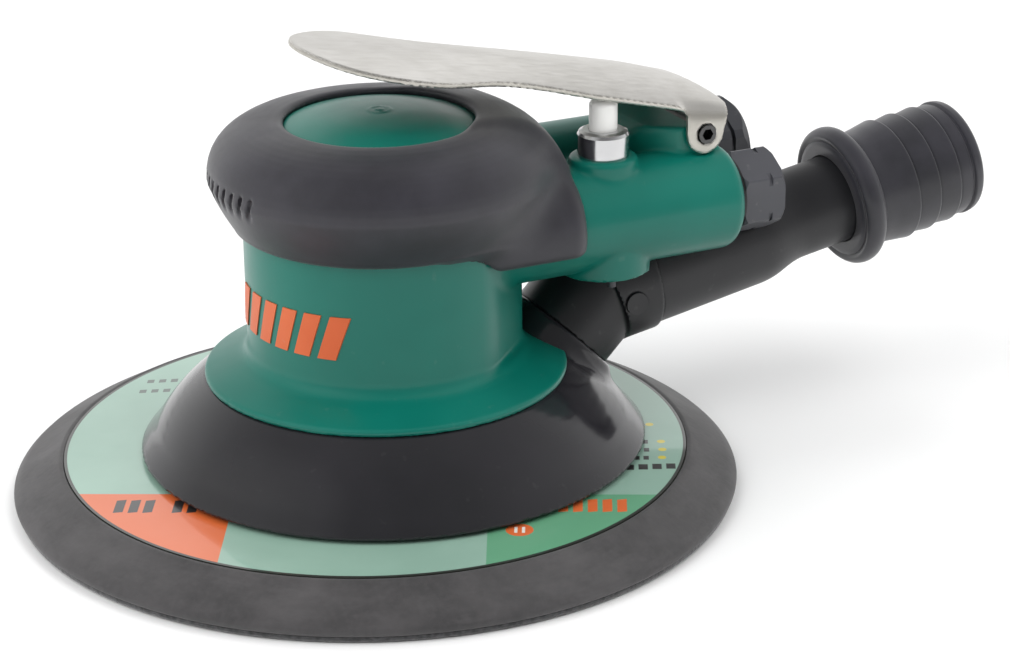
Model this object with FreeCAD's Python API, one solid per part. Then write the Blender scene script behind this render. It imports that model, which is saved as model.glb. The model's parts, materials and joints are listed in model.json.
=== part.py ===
import FreeCAD, Part
import os
from math import cos, sin, tan, radians, pi, sqrt
from FreeCAD import Vector as V

# Air-driven random orbital sander, 150 mm pad. Millimetres, +Z up, +X rearward.
# Origin: motor axis at the pad's working face. -Y is the air inlet side.

# ---- driving dimensions ----
PAD_R = 75.0
PAD_TOP = 8.4
PAD_LABEL_R = 64.7
ORBIT_R = 2.5
ORBIT_AZ = 157.0
DUST_HOLE_R = 5.0
DUST_HOLE_PCD = 80.0
BODY_R = 28.2
BORE_R = 25.0
FLANGE_R = 37.1
FLANGE_Z = 24.8
CONE_TOP_Z = 29.6
TUBE_Z = 55.0
INLET_Y = -13.25
EXHAUST_Y = 15.5
INLET_R = 11.0
EXHAUST_R = 11.0
TUBE_END_X = 71.5
VALVE_X = 43.3
LIP_R = 7.05
LIP_TOP_Z = 67.8
PIVOT_X = 65.2
PIVOT_Z = 70.0
HOSE_TILT = 9.85
HOSE_REF_X = 115.0
HOSE_REF_Z = 45.8
SHEET = 1.2
OUTLET_MOUTH_X = 40.8
OUTLET_MOUTH_Z = 25.6

UP = V(0, 0, 1)
ORBIT = V(ORBIT_R * cos(radians(ORBIT_AZ)), ORBIT_R * sin(radians(ORBIT_AZ)), 0)
INLET = V(0, INLET_Y, TUBE_Z)
EXHAUST = V(0, EXHAUST_Y, TUBE_Z)
REARWARD = V(1, 0, 0)
HOSE_DIR = V(cos(radians(HOSE_TILT)), 0, sin(radians(HOSE_TILT)))
OUTLET_DIR = V(sqrt(0.5), 0, sqrt(0.5))
OUTLET_MOUTH = V(OUTLET_MOUTH_X, 0, OUTLET_MOUTH_Z)

parts = {}


# ---- helpers ----
def hose_point(x):
    """Point of the hose axis above the given X."""
    return V(x, 0, HOSE_REF_Z + tan(radians(HOSE_TILT)) * (x - HOSE_REF_X))


def cyl(r, z0, z1, at=V(0, 0, 0)):
    return Part.makeCylinder(r, z1 - z0, V(at.x, at.y, z0))


def ring(r_out, r_in, z0, z1, at=V(0, 0, 0)):
    return cyl(r_out, z0, z1, at).cut(cyl(r_in, z0 - 1, z1 + 1, at))


def rod(start, direction, r, length):
    return Part.makeCylinder(r, length, start, direction)


def tube(start, direction, r_out, r_in, length):
    inner = rod(start - direction * 1.0, direction, r_in, length + 2.0)
    return rod(start, direction, r_out, length).cut(inner)


def box(x0, x1, y0, y1, z0, z1):
    return Part.makeBox(x1 - x0, y1 - y0, z1 - z0, V(x0, y0, z0))


def turned(profile, at=V(0, 0, 0)):
    """Solid of revolution about +Z from (radius, height) points."""
    face = Part.Face(Part.makePolygon([V(r, 0, z) for r, z in profile + profile[:1]]))
    solid = face.revolve(V(0, 0, 0), UP, 360)
    solid.translate(at)
    return solid


def turned_along(profile, origin, direction):
    """Solid of revolution about a direction, from (radius, distance) points."""
    solid = turned(profile)
    solid.Placement = FreeCAD.Placement(origin, FreeCAD.Rotation(UP, direction))
    return solid


def torus(center, direction, ring_r, wire_r):
    return Part.makeTorus(ring_r, wire_r, center, direction)


def prism_xz(points, y0, y1):
    """Closed (x, z) outline pushed from y0 to y1."""
    wire = Part.makePolygon([V(x, y0, z) for x, z in points + points[:1]])
    return Part.Face(wire).extrude(V(0, y1 - y0, 0))


def hexagon(center, direction, apothem, length, turn=0.0):
    """Hexagonal bar along a direction."""
    corner = apothem / cos(pi / 6)
    angles = [radians(turn + 60 * k) for k in range(6)]
    points = [V(corner * cos(a), corner * sin(a), 0) for a in angles]
    bar = Part.Face(Part.makePolygon(points + points[:1])).extrude(UP * length)
    bar.Placement = FreeCAD.Placement(center, FreeCAD.Rotation(UP, direction))
    return bar


def soften(shape, edges, r):
    """Fillet the chosen edges; keep the sharp shape where the kernel refuses."""
    try:
        done = shape.makeFillet(r, edges)
        return done if done.isValid() and done.Volume > 0 else shape
    except Exception:
        return shape


def circles(shape, r, axis_point, direction):
    """Circular edges of radius r about an axis."""
    found = []
    for edge in shape.Edges:
        curve = edge.Curve
        if not hasattr(curve, "Radius") or not hasattr(curve, "Center"):
            continue
        offset = (curve.Center - axis_point).cross(direction).Length
        if abs(curve.Radius - r) < 0.01 and offset < 0.01:
            found.append(edge)
    return found


def polar(radius, angle_deg, z=0.0, at=V(0, 0, 0)):
    a = radians(angle_deg)
    return V(at.x + radius * cos(a), at.y + radius * sin(a), z)


def compound(shapes):
    return Part.makeCompound(shapes)


# ---- pad: hook face, foam, backing plate, label ----
def dust_holes(z0, z1, r=DUST_HOLE_R):
    return [cyl(r, z0, z1, polar(DUST_HOLE_PCD / 2, 60 * k, 0, ORBIT)) for k in range(6)]


def drilled(shape, r=DUST_HOLE_R):
    for hole in dust_holes(-1, 12, r):
        shape = shape.cut(hole)
    return shape


parts["pad_hook_face"] = drilled(cyl(74.4, 0, 1.1, ORBIT))
foam = turned([(0, 1.1), (74.6, 1.1), (PAD_R, 1.6), (PAD_R, 2.4), (73.9, 3.6),
               (PAD_LABEL_R + 0.5, PAD_TOP), (0, PAD_TOP)], ORBIT)
parts["pad_foam"] = drilled(foam.cut(cyl(64.4, 5.4, PAD_TOP + 1, ORBIT)))
plate = drilled(cyl(64.4, 5.4, 8.0, ORBIT).cut(cyl(11.0, 5, 9, ORBIT)))
label = drilled(ring(64.4, 20.0, 8.0, PAD_TOP, ORBIT))

# steel hub: flange under and over the plate, and a stud into the spindle
rivet_points = [polar(15.0, 30 + 60 * k, 0, ORBIT) for k in range(6)]
hub = cyl(11.0, 5.6, 8.0, ORBIT).fuse(cyl(19.0, 8.0, 9.4, ORBIT))
hub = hub.fuse(cyl(3.95, 9.4, 19.0, ORBIT))
hub = hub.cut(hexagon(V(ORBIT.x, ORBIT.y, 5.0), UP, 2.5, 6.0))
rivets = []
for point in rivet_points:
    plate = plate.cut(cyl(2.0, 5, 9, point))
    hub = hub.cut(cyl(2.0, 5, 12, point))
    rivets.append(cyl(2.0, 5.4, 9.4, point).fuse(cyl(3.0, 9.4, 10.2, point)))
parts["pad_backing_plate"] = plate
parts["pad_label"] = label
parts["pad_hub"] = hub.removeSplitter()
parts["pad_rivets"] = compound(rivets)
parts["pad_washer"] = ring(9.5, 4.0, 9.4, 10.4, ORBIT)

# ---- spindle and its bearing, carried by the eccentric ----
spindle = cyl(6.0, 10.4, 21.6, ORBIT).fuse(cyl(8.6, 10.4, 13.6, ORBIT))
spindle = spindle.common(hexagon(V(ORBIT.x, ORBIT.y, 10.4), UP, 7.6, 3.2).fuse(
    cyl(7.4, 10.4, 22.0, ORBIT)))
parts["spindle"] = spindle.cut(cyl(3.95, 10, 19.2, ORBIT)).removeSplitter()


def bearing(name, bore_r, outer_r, z0, z1, balls, at=V(0, 0, 0)):
    """Deep-groove ball bearing: inner ring, outer ring and balls in their races."""
    mid_z = (z0 + z1) / 2
    pitch = (bore_r + outer_r) / 2
    ball_r = (outer_r - bore_r) * 0.29
    wall = (outer_r - bore_r) * 0.3
    race = torus(V(at.x, at.y, mid_z), UP, pitch, ball_r + 0.02)
    parts[name + "_inner"] = ring(bore_r + wall, bore_r, z0, z1, at).cut(race)
    parts[name + "_outer"] = ring(outer_r, outer_r - wall, z0, z1, at).cut(race)
    parts[name + "_balls"] = compound([
        Part.makeSphere(ball_r, polar(pitch, 360 * k / balls, mid_z, at)) for k in range(balls)])


bearing("spindle_bearing", 6.0, 14.0, 14.2, 21.4, 8, ORBIT)
parts["spindle_screw"] = cyl(7.2, 21.6, 22.3, ORBIT).fuse(cyl(2.4, 19.6, 21.6, ORBIT))
parts["spindle"] = parts["spindle"].cut(cyl(2.4, 19.2, 22, ORBIT))
parts["spindle_snap_ring"] = ring(14.0, 12.4, 13.0, 13.9, ORBIT)

# ---- shaft: eccentric head, counterweight, motor shaft ----
weight_az = ORBIT_AZ + 180
head = cyl(17.8, 13.0, 24.6)
weight = turned([(0, 15.0), (24.0, 15.0), (24.0, 24.0), (0, 24.0)])
keep = box(0, 40, -40, 40, 10, 30)
keep.rotate(V(0, 0, 0), UP, weight_az)
shaft = head.fuse(weight.common(keep))
shaft = shaft.cut(cyl(14.0, 12.0, 22.4, ORBIT)).cut(cyl(10.0, 22.0, 22.9, ORBIT))
shaft = shaft.fuse(cyl(8.0, 24.4, 31.0)).fuse(cyl(6.0, 30.9, 36.2)).fuse(cyl(6.4, 36.1, 58.0))
shaft = shaft.fuse(cyl(4.5, 57.9, 65.5)).cut(ring(6.0, 4.1, 63.4, 64.0))
shaft = shaft.cut(box(4.4, 8.0, -1.5, 1.5, 40, 54))
parts["shaft_balancer"] = shaft.removeSplitter()
parts["rotor_key"] = box(4.4, 8.2, -1.5, 1.5, 40, 54)
parts["shaft_snap_ring"] = ring(6.2, 4.1, 63.4, 64.0).cut(box(0, 8, -1.2, 1.2, 63, 65))

bearing("front_bearing", 6.0, 11.4, 31.4, 35.8, 10)
bearing("rear_bearing", 4.5, 9.6, 58.4, 62.6, 9)

# ---- vane motor ----
rotor = ring(18.6, 6.4, 36.15, 57.85).cut(box(6.0, 8.2, -1.5, 1.5, 40, 54))
rotor = rotor.cut(box(6.0, 8.2, -1.5, 1.5, 36, 58))
vanes = []
for k in range(5):
    slot = box(10.2, 20.0, -0.85, 0.85, 36, 58)
    vane = box(10.6, 18.3, -0.8, 0.8, 36.25, 57.75)
    for blade in (slot, vane):
        blade.rotate(V(0, 0, 0), UP, 36 + 72 * k)
    rotor = rotor.cut(slot)
    vanes.append(vane)
parts["rotor"] = rotor
parts["rotor_vanes"] = compound(vanes)

liner = cyl(BORE_R - 0.1, 36.0, 58.0).cut(cyl(20.8, 35, 59, V(-2.0, 0, 0)))
for z in (41.0, 47.0, 53.0):
    for y in (-1, 1):
        liner = liner.cut(rod(V(0, 0, z), V(0.35, y, 0), 1.6, 30))
front_plate = cyl(BORE_R - 0.1, 31.2, 36.0).cut(cyl(11.4, 31.4, 35.8)).cut(cyl(8.4, 30, 37))
rear_plate = cyl(BORE_R - 0.1, 58.0, 63.0).cut(cyl(9.6, 58.4, 64.0)).cut(cyl(6.8, 57, 64))
pin_at = V(-23.0, 0, 0)
pin_hole = cyl(1.2, 33.0, 61.0, pin_at)
parts["cylinder_liner"] = liner.cut(pin_hole)
parts["front_end_plate"] = front_plate.cut(pin_hole)
parts["rear_end_plate"] = rear_plate.cut(pin_hole)
parts["cylinder_dowel_pin"] = pin_hole
lock_ring = ring(BORE_R - 0.1, 19.0, 27.6, 31.2)
for k in range(4):
    lock_ring = lock_ring.cut(cyl(1.6, 27, 29.8, polar(22.0, 45 + 90 * k)))
parts["motor_lock_ring"] = lock_ring
parts["dust_seal"] = ring(18.6, 8.3, 27.6, 29.4)
seal_seat = ring(19.0, 8.6, 29.4, 31.2)
parts["seal_plate"] = seal_seat

# ---- dust shroud with its rear outlet ----
skirt = [(51.0, 9.2), (50.4, 10.0), (48.1, 13.0), (46.2, 16.0), (43.9, 19.0),
         (40.6, 22.0), (38.2, 24.0), (36.6, FLANGE_Z)]
cavity = [(r - 2.2, z - 0.9 * (z > 9.5)) for r, z in skirt]
outer = turned([(0, 9.2)] + skirt + [(0, FLANGE_Z)])
hollow = turned([(0, 9.0), (48.9, 9.0)] + cavity[1:-1] + [(35.0, 22.8), (0, 22.8)])
outlet_start = OUTLET_MOUTH - OUTLET_DIR * 20.0
outlet_outer = rod(outlet_start, OUTLET_DIR, 12.5, 20.0)
outlet_bore = rod(outlet_start, OUTLET_DIR, 11.6, 21.0)
outlet_outer = outlet_outer.cut(cyl(26.5, 0, 60)).cut(box(-60, 60, -60, 60, -30, 9.2))
shroud = outer.fuse(outlet_outer).cut(hollow).cut(outlet_bore)
shroud = shroud.cut(cyl(26.0, 20, 30))
parts["shroud"] = shroud.removeSplitter()

# ---- housing: flange, cone, motor barrel, head, tubes, bosses and lug ----
body = turned([(0, FLANGE_Z), (FLANGE_R, FLANGE_Z), (FLANGE_R, 25.6), (BODY_R, CONE_TOP_Z),
               (BODY_R, 58.0), (30.0, 62.0), (31.2, 66.0), (30.4, 70.5), (26.0, 74.6),
               (20.4, 76.4), (19.0, 77.5), (12.0, 79.1), (5.0, 79.75), (0, 79.8)])
for side in (-45, 45):
    flat = box(26.7, 40, -30, 30, CONE_TOP_Z + 1.0, 56.0)
    flat.rotate(V(0, 0, 0), UP, side)
    body = body.cut(flat)
plain_head = body.copy()


def head_tube(axis, r):
    """Tube root with a rounded rear rim."""
    bar = rod(axis + REARWARD * 8, REARWARD, r, TUBE_END_X - 8)
    rims = [e for e in circles(bar, r, axis, REARWARD) if e.Curve.Center.x > 50]
    return soften(bar, rims, 2.6)


web = box(20, 66.0, -5.0, 7.0, 49.5, 61.0)
lug_plan = [V(50, -5, 58), V(60.4, -15.4, 58), V(69.4, -15.4, 58), V(69.4, 15.4, 58), V(60.4, 15.4, 58),
            V(50, 5, 58), V(50, -5, 58)]
lug = Part.Face(Part.makePolygon(lug_plan)).extrude(UP * 20)
lug = lug.common(prism_xz([(49.0, 58.0), (49.0, 66.0), (54.0, 71.0), (64.6, 71.6), (68.2, 70.0),
                           (69.4, 67.6), (69.4, 58.0)], -20, 20))
regulator_boss = cyl(9.5, 43.8, 56.0, V(VALVE_X, INLET_Y, 0))
lip_boss = cyl(LIP_R, 56.0, LIP_TOP_Z, V(VALVE_X, INLET_Y, 0))
lip_boss = soften(lip_boss, [e for e in circles(lip_boss, LIP_R, V(VALVE_X, INLET_Y, 0), UP)
                             if e.Curve.Center.z > 60], 1.0)
for piece in (head_tube(INLET, INLET_R), head_tube(EXHAUST, EXHAUST_R), web, lug, regulator_boss,
              lip_boss):
    body = body.fuse(piece)
body = body.cut(cyl(BORE_R, 20, 63.1)).cut(cyl(11.0, 60, 68.0))
body = body.cut(rod(INLET + REARWARD * 36, REARWARD, 7.6, 60))
body = body.cut(rod(EXHAUST + REARWARD * 34, REARWARD, 9.4, 60))
body = body.cut(cyl(4.6, 54, 80, V(VALVE_X, INLET_Y, 0)))
body = body.cut(cyl(6.0, 42, 50.5, V(VALVE_X, INLET_Y, 0)))
body = body.cut(rod(V(20.0, -11.0, 54.0), REARWARD, 3.0, 20))
body = body.cut(rod(V(18.0, 12.0, 54.0), REARWARD, 4.5, 20))
body = body.cut(rod(outlet_start, OUTLET_DIR, 12.5, 40.0).cut(cyl(60, 36, 80)))
body = body.cut(rod(V(PIVOT_X, -20, PIVOT_Z), V(0, 1, 0), 1.95, 40))
for y0 in (-17.6, 15.4):
    body = body.cut(rod(V(PIVOT_X, y0, PIVOT_Z), V(0, 1, 0), 4.7, 2.2))
parts["housing"] = body.removeSplitter()

# ---- rubber grip sleeve over the head and the tube roots ----
grip_outer = turned([(0, 56.5), (29.8, 56.5), (31.0, 59.0), (33.6, 63.0), (35.0, 67.0),
                     (34.15, 71.0), (32.3, 75.0), (28.0, 77.4), (22.8, 78.5), (19.6, 78.2),
                     (19.1, 77.2), (0, 77.2)])
tail = None
for axis, r in ((INLET, INLET_R + 2.0), (EXHAUST, EXHAUST_R + 1.8)):
    sock = rod(axis + REARWARD * 4, REARWARD, r, 30.6)
    rims = [e for e in circles(sock, r, axis, REARWARD) if e.Curve.Center.x > 20]
    sock = soften(sock, rims, 3.0)
    tail = sock if tail is None else tail.fuse(sock)
bridge = prism_xz([(4, 50.6), (33.4, 50.6), (34.4, 58.0), (34.0, 67.2), (30.5, 71.5), (24.0, 75.5),
                   (4, 77.0)], INLET_Y, EXHAUST_Y)
tail = tail.fuse(bridge).cut(box(-60, 60, -60, 60, 30, 50.6))
under = turned([(0, 40.0), (60, 40.0), (60, 50.5), (28.2, 50.5), (28.2, 56.5), (0, 56.5)])
grip = grip_outer.fuse(tail.cut(under))
grip = grip.cut(plain_head).cut(cyl(19.0, 70, 90)).cut(cyl(BODY_R, 40, 58.0))
for axis, r in ((INLET, INLET_R), (EXHAUST, EXHAUST_R)):
    grip = grip.cut(rod(axis, REARWARD, r, 60))
grip = grip.cut(box(20, 60, -5.0, 7.0, 49.5, 61.0))
parts["grip_sleeve"] = max(grip.Solids, key=lambda s: s.Volume).removeSplitter()

# ---- raised generic badge on the barrel: six slanted bars ----
badge_shell = ring(BODY_R + 0.25, BODY_R, 30.5, 56.0)
bars = []
for k in range(6):
    left = -17.4 + 5.4 * k
    bar = prism_xz([(left, 37.0), (left + 3.6, 37.0), (left + 6.4, 46.0), (left + 2.8, 46.0)], -40, 0)
    bar.rotate(V(0, 0, 0), UP, -71)
    bars.append(badge_shell.common(bar))
parts["body_badge"] = compound([s for b in bars for s in b.Solids])

# ---- throttle valve: bushing, plunger, seat, tip valve, spring ----
valve_at = V(VALVE_X, INLET_Y, 0)
parts["valve_bushing"] = turned([(4.6, 60.0), (4.6, LIP_TOP_Z), (5.3, LIP_TOP_Z), (5.3, 72.3), (5.0, 72.9),
                                 (4.2, 73.3), (3.02, 73.3), (3.02, 60.0)], valve_at)
plunger = turned([(0, 56.7), (2.0, 56.7), (2.9, 57.6), (2.9, 61.6), (2.2, 61.6), (2.2, 63.2),
                  (2.9, 63.2), (2.9, 78.85), (2.3, 79.45), (0, 79.65)], valve_at)
parts["valve_plunger"] = plunger
parts["plunger_o_ring"] = ring(2.95, 2.2, 61.8, 63.0, valve_at)

SEAT_X = 55.0
seat = tube(V(SEAT_X - 2.5, INLET_Y, TUBE_Z), REARWARD, 7.6, 4.6, 2.5)
parts["valve_seat"] = seat
stem = rod(V(42.6, INLET_Y, TUBE_Z), REARWARD, 1.3, SEAT_X - 42.6 + 0.5)
disc = rod(V(SEAT_X, INLET_Y, TUBE_Z), REARWARD, 5.5, 2.4)
parts["tip_valve"] = stem.fuse(disc).removeSplitter()
spring_turns = []
for k in range(5):
    spring_turns.append(torus(V(58.2 + 2.1 * k, INLET_Y, TUBE_Z), REARWARD, 4.6 + 0.45 * k, 0.4))
parts["valve_spring"] = compound(spring_turns)
parts["inlet_screen"] = tube(V(68.6, INLET_Y, TUBE_Z), REARWARD, 7.5, 5.6, 1.2)

# ---- inlet bushing: notched hexagon outside, threaded hole for the air fitting ----
INLET_THREAD_R = 5.9
INLET_NUT_END = 82.0
nut_from = INLET + REARWARD * (TUBE_END_X + 1.1)
nut_length = INLET_NUT_END - TUBE_END_X - 1.1
nut = hexagon(nut_from, REARWARD, 7.8, nut_length)
nut = nut.common(turned_along([(0, 0), (8.4, 0), (8.9, 0.6), (8.9, nut_length - 0.9), (8.1, nut_length),
                               (0, nut_length)], nut_from, REARWARD))
nut = nut.cut(tube(nut_from + REARWARD * 5.5, REARWARD, 10.0, 8.3, 0.9))
shank = rod(INLET + REARWARD * 70, REARWARD, 7.6, TUBE_END_X + 1.1 - 70)
inlet_bushing = shank.fuse(nut)
inlet_bushing = inlet_bushing.cut(rod(INLET + REARWARD * 69, REARWARD, INLET_THREAD_R, 20))
parts["inlet_bushing"] = inlet_bushing.removeSplitter()
parts["inlet_o_ring"] = tube(INLET + REARWARD * TUBE_END_X, REARWARD, 8.2, 7.6, 1.1)

# ---- exhaust: muffler felt and its cap ----
parts["muffler_felt"] = tube(EXHAUST + REARWARD * 56, REARWARD, 9.2, 4.0, 15.0)
CAP_LENGTH = 18.0
cap_at = EXHAUST + REARWARD * TUBE_END_X
cap = turned_along([(0, 0), (9.4, 0), (9.4, 1.2), (10.8, 1.2), (11.3, 1.8), (11.3, CAP_LENGTH - 2.0),
                    (9.8, CAP_LENGTH), (0, CAP_LENGTH)], cap_at, REARWARD)
cap = cap.common(hexagon(cap_at + REARWARD * 1.2, REARWARD, 10.2, CAP_LENGTH).fuse(
    rod(cap_at, REARWARD, 9.4, 3.0)))
cap = cap.cut(rod(cap_at - REARWARD, REARWARD, 8.2, CAP_LENGTH - 2.0))
cap = cap.cut(tube(cap_at + REARWARD * (CAP_LENGTH - 5.0), REARWARD, 12.0, 10.0, 0.9))
for k in range(8):
    spot = polar(5.6, 45 * k)
    cap = cap.cut(rod(cap_at + V(10, spot.x, spot.y), REARWARD, 1.2, 10))
collar = tube(cap_at - REARWARD * 0.4, REARWARD, 9.4, 8.2, 0.8)
parts["muffler_cap"] = cap.fuse(collar).removeSplitter()

# ---- speed regulator under the inlet tube ----
parts["regulator_barrel"] = cyl(5.9, 44.8, 50.3, valve_at).cut(
    rod(V(VALVE_X - 8, INLET_Y, 50.3), REARWARD, 2.6, 16))
parts["regulator_snap_ring"] = ring(6.0, 4.6, 43.9, 44.6, valve_at)
handle = cyl(4.2, 43.2, 44.8, valve_at).fuse(cyl(0.9, 38.9, 43.4, valve_at + V(2.1, 0, 0)))
parts["regulator_handle"] = handle.removeSplitter()

# ---- throttle lever ----
# station: X, crown height, edge height (top face at |y| = 17), along the sheet
STATIONS = [(-21.0, 96.5, 96.0), (-14.0, 94.4, 93.8), (-8.0, 93.3, 92.7), (-2.0, 92.3, 91.7),
            (7.0, 90.9, 90.0), (12.0, 90.1, 88.7), (17.0, 89.2, 87.4), (26.0, 87.6, 85.2),
            (36.5, 85.2, 82.6), (46.0, 83.3, 80.1), (57.0, 80.9, 77.2), (62.0, 79.5, 76.0),
            (67.0, 77.7, 75.2), (72.0, 75.5, 74.4), (75.0, 74.0, 73.4)]
HALF = 17.0


def lever_section(x, crown, edge):
    """Closed arched strip across the sheet at one X."""
    sag = crown - edge
    rad = (HALF * HALF + sag * sag) / (2 * sag)
    reach = 23.0
    rows = []
    for drop in (0.0, SHEET):
        curve = []
        for k in range(9):
            y = -reach + reach * k / 4
            curve.append(V(x, y, crown - drop - (rad - sqrt(rad * rad - y * y))))
        rows.append(Part.BSplineCurve())
        rows[-1].interpolate(curve)
    top = rows[0].toShape()
    bottom = rows[1].toShape()
    left = Part.makeLine(top.Vertexes[0].Point, bottom.Vertexes[0].Point)
    right = Part.makeLine(top.Vertexes[-1].Point, bottom.Vertexes[-1].Point)
    return Part.Wire([top, right, bottom, left])


sheet = Part.makeLoft([lever_section(*s) for s in STATIONS], True, False)
half_plan = [(-17.2, 0.0), (-17.0, 3.1), (-15.8, 7.3), (-12.9, 12.7), (-9.9, 16.0), (-6.7, 18.3),
             (-3.0, 20.0), (1.0, 20.5), (5.0, 20.2), (9.0, 19.1), (13.0, 17.7), (17.0, 16.4),
             (21.0, 15.8), (25.0, 15.6), (30.0, 16.1), (36.0, 16.8), (42.0, 17.2), (60.0, 17.2), (68.6, 17.2),
             (70.2, 16.4), (71.2, 14.4), (71.9, 9.0), (72.0, 0.0)]
plan = half_plan + [(x, -w) for x, w in reversed(half_plan[1:-1])]
outline = Part.makePolygon([V(x, w, 60) for x, w in plan + plan[:1]])
sheet = sheet.common(Part.Face(outline).extrude(V(0, 0, 60)))
ears = []
for side in (-1, 1):
    y0 = 17.2 - SHEET if side > 0 else -17.2
    ear = prism_xz([(60.6, 75.8), (61.0, 70.0), (69.4, 70.0), (70.2, 73.2), (69.8, 74.4), (66.0, 75.0)],
                   y0, y0 + SHEET)
    ear = ear.fuse(rod(V(PIVOT_X, y0, PIVOT_Z), V(0, 1, 0), 4.2, SHEET))
    ears.append(ear)
lever = sheet.fuse(ears[0]).fuse(ears[1])
lever = lever.cut(rod(V(PIVOT_X, -20, PIVOT_Z), V(0, 1, 0), 2.0, 40))
parts["throttle_lever"] = lever.removeSplitter()
pin = rod(V(PIVOT_X, -17.6, PIVOT_Z), V(0, 1, 0), 1.95, 35.2)
for y in (-17.7, 15.2):
    pin = pin.cut(hexagon(V(PIVOT_X, y, PIVOT_Z), V(0, 1, 0), 1.1, 2.5))
parts["lever_pin"] = pin

# ---- vacuum elbow, hose tube, swivel adapter ----
bend_x = (HOSE_REF_Z - OUTLET_MOUTH_Z + OUTLET_MOUTH_X - tan(radians(HOSE_TILT)) * HOSE_REF_X)
bend_x = bend_x / (1 - tan(radians(HOSE_TILT)))
bend = hose_point(bend_x)
mitre_dir = (OUTLET_DIR + HOSE_DIR).normalize()


def nest(gap):
    """Room taken by the head's tubes, bosses and end fittings, grown by a gap."""
    room = rod(INLET + REARWARD * 10, REARWARD, INLET_R + gap, TUBE_END_X - 10 + gap)
    for piece in (rod(EXHAUST + REARWARD * 10, REARWARD, EXHAUST_R + gap, TUBE_END_X - 10 + gap),
                  rod(INLET + REARWARD * 70, REARWARD, 8.9 + gap, INLET_NUT_END - 70 + gap),
                  rod(EXHAUST + REARWARD * 70, REARWARD, 11.3 + gap, TUBE_END_X + CAP_LENGTH - 70 + gap),
                  cyl(9.5 + gap, 43.8 - gap, 56.0, valve_at)):
        room = room.fuse(piece)
    return room


WALL_GAP = 0.4
WALL = 2.0
room_outside = nest(WALL_GAP)
room_inside = nest(WALL_GAP + WALL)
beyond_mitre = Part.makeCylinder(200, 200, bend, mitre_dir)


def two_legs(r1, r2, start, end):
    """Round legs of radius r1 and r2 that meet on the mitre plane."""
    leg_1 = rod(OUTLET_MOUTH - OUTLET_DIR * start, OUTLET_DIR, r1, 60).cut(beyond_mitre)
    leg_2 = rod(bend - HOSE_DIR * 40, HOSE_DIR, r2, 40 + end).common(beyond_mitre)
    return leg_1.fuse(leg_2)


elbow = two_legs(11.9, 13.0, 0.0, 8.6)
elbow = elbow.fuse(rod(OUTLET_MOUTH - OUTLET_DIR * 4.0, OUTLET_DIR, 11.5, 6.0))
elbow = elbow.cut(room_outside)
elbow_bore = two_legs(10.0, 10.0, 6.0, 20.0).cut(room_inside)
socket = rod(bend + HOSE_DIR * 3.0, HOSE_DIR, 12.1, 20).cut(nest(WALL_GAP + 0.7))
screw_at = bend + HOSE_DIR * 2.0 + V(0, -13.0, -1.0)
elbow = elbow.fuse(rod(screw_at - V(0, 0.2, 0), V(0, 1, 0), 3.1, 2.0))
elbow = elbow.cut(rod(screw_at - V(0, 1, 0), V(0, 1, 0), 2.4, 1.6)).cut(elbow_bore).cut(socket)
parts["exhaust_elbow"] = elbow.removeSplitter()
parts["elbow_screw"] = rod(screw_at - V(0, 0.2, 0), V(0, 1, 0), 2.4, 0.8)

TUBE_FROM = bend_x + 3.0
cosine = cos(radians(HOSE_TILT))


def along(x):
    """Distance along the hose axis from the tube's start."""
    return (x - TUBE_FROM) / cosine


hose_from = bend + HOSE_DIR * 3.0
hose = turned_along([(0, 0), (12.1, 0), (11.9, along(86.5)), (9.7, along(93.7)), (9.7, along(118.0)),
                     (0, along(118.0))], hose_from, HOSE_DIR)
hose_bore = turned_along([(0, -1), (10.0, -1), (10.0, along(86.0)), (8.0, along(94.6)),
                          (8.0, along(119.0)), (0, along(119.0))], hose_from, HOSE_DIR)
hose = hose.cut(nest(WALL_GAP + 0.7)).cut(hose_bore.cut(nest(WALL_GAP + WALL)))
neck_groove = tube(hose_point(113.4), HOSE_DIR, 10.5, 9.2, 1.8)
parts["hose_tube"] = hose.cut(neck_groove).removeSplitter()
parts["hose_snap_ring"] = tube(hose_point(113.5), HOSE_DIR, 10.6, 9.2, 1.5)

BARB_FROM = hose_point(HOSE_REF_X)
adapter_profile = [(9.8, -5.6), (12.5, -5.6), (12.8, -4.0), (12.8, 3.6), (13.67, 5.88), (12.75, 6.3),
                   (12.75, 8.9), (13.48, 11.14), (12.7, 11.6), (12.7, 14.6), (13.22, 16.76),
                   (12.6, 17.2), (12.7, 20.3), (13.0, 21.2), (12.7, 23.1), (11.1, 24.06),
                   (10.7, 24.06), (10.7, 4.4), (9.8, 3.4)]
adapter = turned_along(adapter_profile, BARB_FROM, HOSE_DIR)
groove = tube(hose_point(113.4), HOSE_DIR, 10.8, 9.0, 1.8)
parts["hose_adapter"] = adapter.cut(groove)
collar_profile = [(9.85, -8.4), (13.0, -8.4), (14.4, -8.0), (15.3, -6.9), (15.5, -5.7), (15.2, -4.5),
                  (14.2, -3.5), (12.8, -3.1), (12.8, -4.0), (12.5, -5.6), (9.85, -5.6)]
parts["hose_collar"] = turned_along(collar_profile, BARB_FROM, HOSE_DIR)

# ---- write one STEP per piece ----
os.makedirs("parts", exist_ok=True)
for name, shape in parts.items():
    shape.exportStep("parts/%s.step" % name)
    print(name, shape.isValid(), len(shape.Solids), round(shape.Volume, 1))
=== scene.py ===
import json
import math

import bmesh
import bpy
import numpy as np
from mathutils import Matrix, Vector


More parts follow.
